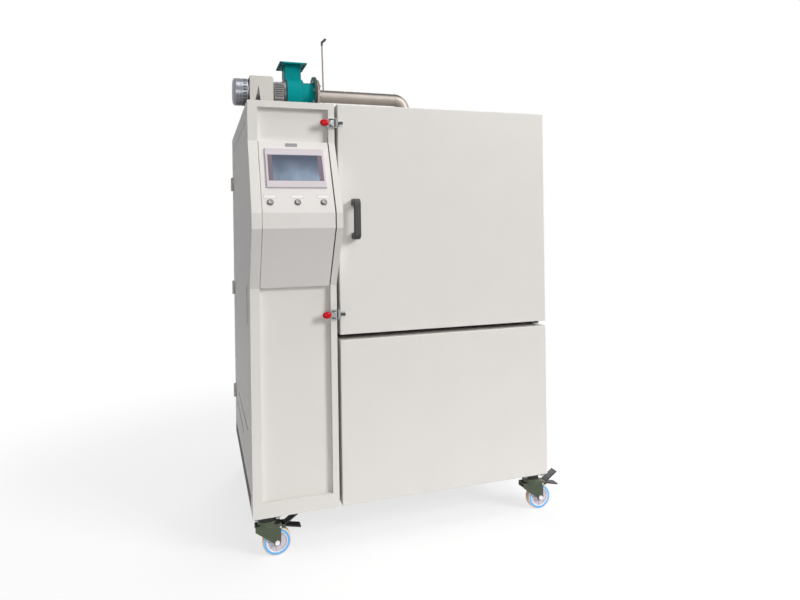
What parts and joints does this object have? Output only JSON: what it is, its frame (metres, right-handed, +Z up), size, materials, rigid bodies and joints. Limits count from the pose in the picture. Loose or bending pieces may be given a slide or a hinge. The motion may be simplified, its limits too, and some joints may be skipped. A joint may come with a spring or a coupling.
{
  "type": "box furnace",
  "caption": "Floor-standing box furnace on casters: control column with touch screen, side-hung chamber door held by toggle latches, and an exhaust blower on the roof.",
  "frame": {"origin": "middle of the box round the whole furnace, on the floor that the casters stand on", "axes": "+Z up, -Y is the front with the door and the screen, +X to the right as seen from the front"},
  "size_m": [1.377, 1.256, 2.2646],
  "materials": {
    "cabinet_paint": "satin",
    "dark_steel": "matte",
    "console_paint": "satin",
    "bezel_plastic": "satin",
    "screen_glass": "gloss",
    "button_plastic": "satin",
    "black_plastic": "satin",
    "red_plastic": "satin",
    "bright_steel": "satin",
    "stainless_pipe": "satin",
    "blower_paint": "satin",
    "motor_metal": "satin",
    "fibre_lining": "matte",
    "hearth_ceramic": "matte",
    "element_metal": "matte",
    "gasket_rope": "matte",
    "fork_paint": "satin",
    "wheel_plastic": "satin",
    "gear_plastic": "matte"
  },
  "bodies": {
    "cabinet": {"base_frame": "dark_steel", "column_front_frame": "cabinet_paint", "column_panel": "cabinet_paint", "console_panel": "console_paint", "touch_screen_bezel": "bezel_plastic", "touch_screen": "screen_glass", "partition_wall": "cabinet_paint", "right_side_panel": "cabinet_paint", "chamber_deck": "dark_steel", "roof_panel": "cabinet_paint", "front_plate": "dark_steel", "lower_front_cover": "cabinet_paint", "rear_panel": "cabinet_paint", "control_gear": "gear_plastic", "lining_floor": "fibre_lining", "lining_roof": "fibre_lining", "lining_left": "fibre_lining", "lining_right": "fibre_lining", "lining_rear": "fibre_lining", "hearth_plate": "hearth_ceramic", "thermocouple": "hearth_ceramic", "heating_element_left": "element_metal", "heating_element_right": "element_metal", "hinge_bracket_lower": "dark_steel", "hinge_bracket_upper": "dark_steel", "latch_base_upper": "bright_steel", "latch_base_lower": "bright_steel", "fan_housing": "blower_paint", "fan_inlet": "blower_paint", "motor_body": "motor_metal", "motor_cowl": "motor_metal", "motor_stand": "cabinet_paint", "exhaust_pipe": "stainless_pipe", "vent_tube": "bright_steel"},
    "furnace_door": {"door_shell": "cabinet_paint", "door_insulation": "fibre_lining", "door_gasket": "gasket_rope", "door_handle": "black_plastic", "keeper_upper": "bright_steel", "keeper_lower": "bright_steel"},
    "upper_latch_lever": {"latch_lever_upper": "red_plastic"},
    "upper_latch_link": {"latch_link_upper": "bright_steel"},
    "lower_latch_lever": {"latch_lever_lower": "red_plastic"},
    "lower_latch_link": {"latch_link_lower": "bright_steel"},
    "fan_rotor": {"fan_rotor": "bright_steel"},
    "button_1": {"push_button_1": "button_plastic"},
    "button_2": {"push_button_2": "button_plastic"},
    "button_3": {"push_button_3": "button_plastic"},
    "service_door": {"service_door": "cabinet_paint"},
    "flush_handle": {"flush_handle": "black_plastic"},
    "front_left_fork": {"caster_fork_front_left": "fork_paint"},
    "front_right_fork": {"caster_fork_front_right": "fork_paint"},
    "rear_left_fork": {"caster_fork_rear_left": "fork_paint"},
    "rear_right_fork": {"caster_fork_rear_right": "fork_paint"},
    "front_left_wheel": {"caster_wheel_front_left": "wheel_plastic"},
    "front_right_wheel": {"caster_wheel_front_right": "wheel_plastic"},
    "rear_left_wheel": {"caster_wheel_rear_left": "wheel_plastic"},
    "rear_right_wheel": {"caster_wheel_rear_right": "wheel_plastic"},
    "front_left_pedal": {"brake_pedal_front_left": "black_plastic"},
    "front_right_pedal": {"brake_pedal_front_right": "black_plastic"}
  },
  "joints": [
    {"name": "door_swing", "type": "hinge", "parent": "cabinet", "child": "furnace_door", "pos_m": [0.59298, -0.452, 0.8515], "axis": [0, 0, 1], "range_deg": [0, 120]},
    {"name": "upper_lever_turn", "type": "hinge", "parent": "cabinet", "child": "upper_latch_lever", "pos_m": [-0.34302, -0.504, 1.692], "axis": [0, 0, 1], "range_deg": [0, 110]},
    {"name": "upper_link_turn", "type": "hinge", "parent": "upper_latch_lever", "child": "upper_latch_link", "pos_m": [-0.35702, -0.5, 1.692], "axis": [0, 0, 1], "range_deg": [-110, 0]},
    {"name": "lower_lever_turn", "type": "hinge", "parent": "cabinet", "child": "lower_latch_lever", "pos_m": [-0.34302, -0.504, 0.935], "axis": [0, 0, 1], "range_deg": [0, 110]},
    {"name": "lower_link_turn", "type": "hinge", "parent": "lower_latch_lever", "child": "lower_latch_link", "pos_m": [-0.35702, -0.5, 0.935], "axis": [0, 0, 1], "range_deg": [-110, 0]},
    {"name": "fan_spin", "type": "hinge", "parent": "cabinet", "child": "fan_rotor", "pos_m": [-0.44602, 0.068, 1.919], "axis": [1, 0, 0], "continuous": true},
    {"name": "button_1_press", "type": "slide", "parent": "cabinet", "child": "button_1", "axis": [0, 0.8993, -0.4373], "range_m": [0, 0.003], "stiffness_N_per_m": 400},
    {"name": "button_2_press", "type": "slide", "parent": "cabinet", "child": "button_2", "axis": [0, 0.8993, -0.4373], "range_m": [0, 0.003], "stiffness_N_per_m": 400},
    {"name": "button_3_press", "type": "slide", "parent": "cabinet", "child": "button_3", "axis": [0, 0.8993, -0.4373], "range_m": [0, 0.003], "stiffness_N_per_m": 400},
    {"name": "service_door_swing", "type": "hinge", "parent": "cabinet", "child": "service_door", "pos_m": [-0.67202, 0.5615, 0.23], "axis": [0, 0, -1], "range_deg": [0, 105]},
    {"name": "flush_handle_turn", "type": "hinge", "parent": "service_door", "child": "flush_handle", "pos_m": [-0.66352, -0.359, 1.0468], "axis": [0, 1, 0], "range_deg": [0, 40]},
    {"name": "front_left_swivel", "type": "hinge", "parent": "cabinet", "child": "front_left_fork", "pos_m": [-0.60802, -0.437, 0.126], "axis": [0, 0, 1], "continuous": true},
    {"name": "front_right_swivel", "type": "hinge", "parent": "cabinet", "child": "front_right_fork", "pos_m": [0.55798, -0.437, 0.126], "axis": [0, 0, 1], "continuous": true},
    {"name": "rear_left_swivel", "type": "hinge", "parent": "cabinet", "child": "rear_left_fork", "pos_m": [-0.60802, 0.563, 0.126], "axis": [0, 0, 1], "continuous": true},
    {"name": "rear_right_swivel", "type": "hinge", "parent": "cabinet", "child": "rear_right_fork", "pos_m": [0.55798, 0.563, 0.126], "axis": [0, 0, 1], "continuous": true},
    {"name": "front_left_roll", "type": "hinge", "parent": "front_left_fork", "child": "front_left_wheel", "pos_m": [-0.57102, -0.437, 0.055], "axis": [0, 1, 0], "continuous": true},
    {"name": "front_right_roll", "type": "hinge", "parent": "front_right_fork", "child": "front_right_wheel", "pos_m": [0.59498, -0.437, 0.055], "axis": [0, 1, 0], "continuous": true},
    {"name": "rear_left_roll", "type": "hinge", "parent": "rear_left_fork", "child": "rear_left_wheel", "pos_m": [-0.57102, 0.563, 0.055], "axis": [0, 1, 0], "continuous": true},
    {"name": "rear_right_roll", "type": "hinge", "parent": "rear_right_fork", "child": "rear_right_wheel", "pos_m": [0.59498, 0.563, 0.055], "axis": [0, 1, 0], "continuous": true},
    {"name": "front_left_brake", "type": "hinge", "parent": "front_left_fork", "child": "front_left_pedal", "pos_m": [-0.54602, -0.437, 0.115], "axis": [0, 1, 0], "range_deg": [0, 14]},
    {"name": "front_right_brake", "type": "hinge", "parent": "front_right_fork", "child": "front_right_pedal", "pos_m": [0.61998, -0.437, 0.115], "axis": [0, 1, 0], "range_deg": [0, 14]}
  ],
  "couplings": [
    {"joint": "upper_link_turn", "follows": "upper_lever_turn", "ratio": -1},
    {"joint": "lower_link_turn", "follows": "lower_lever_turn", "ratio": -1}
  ]
}
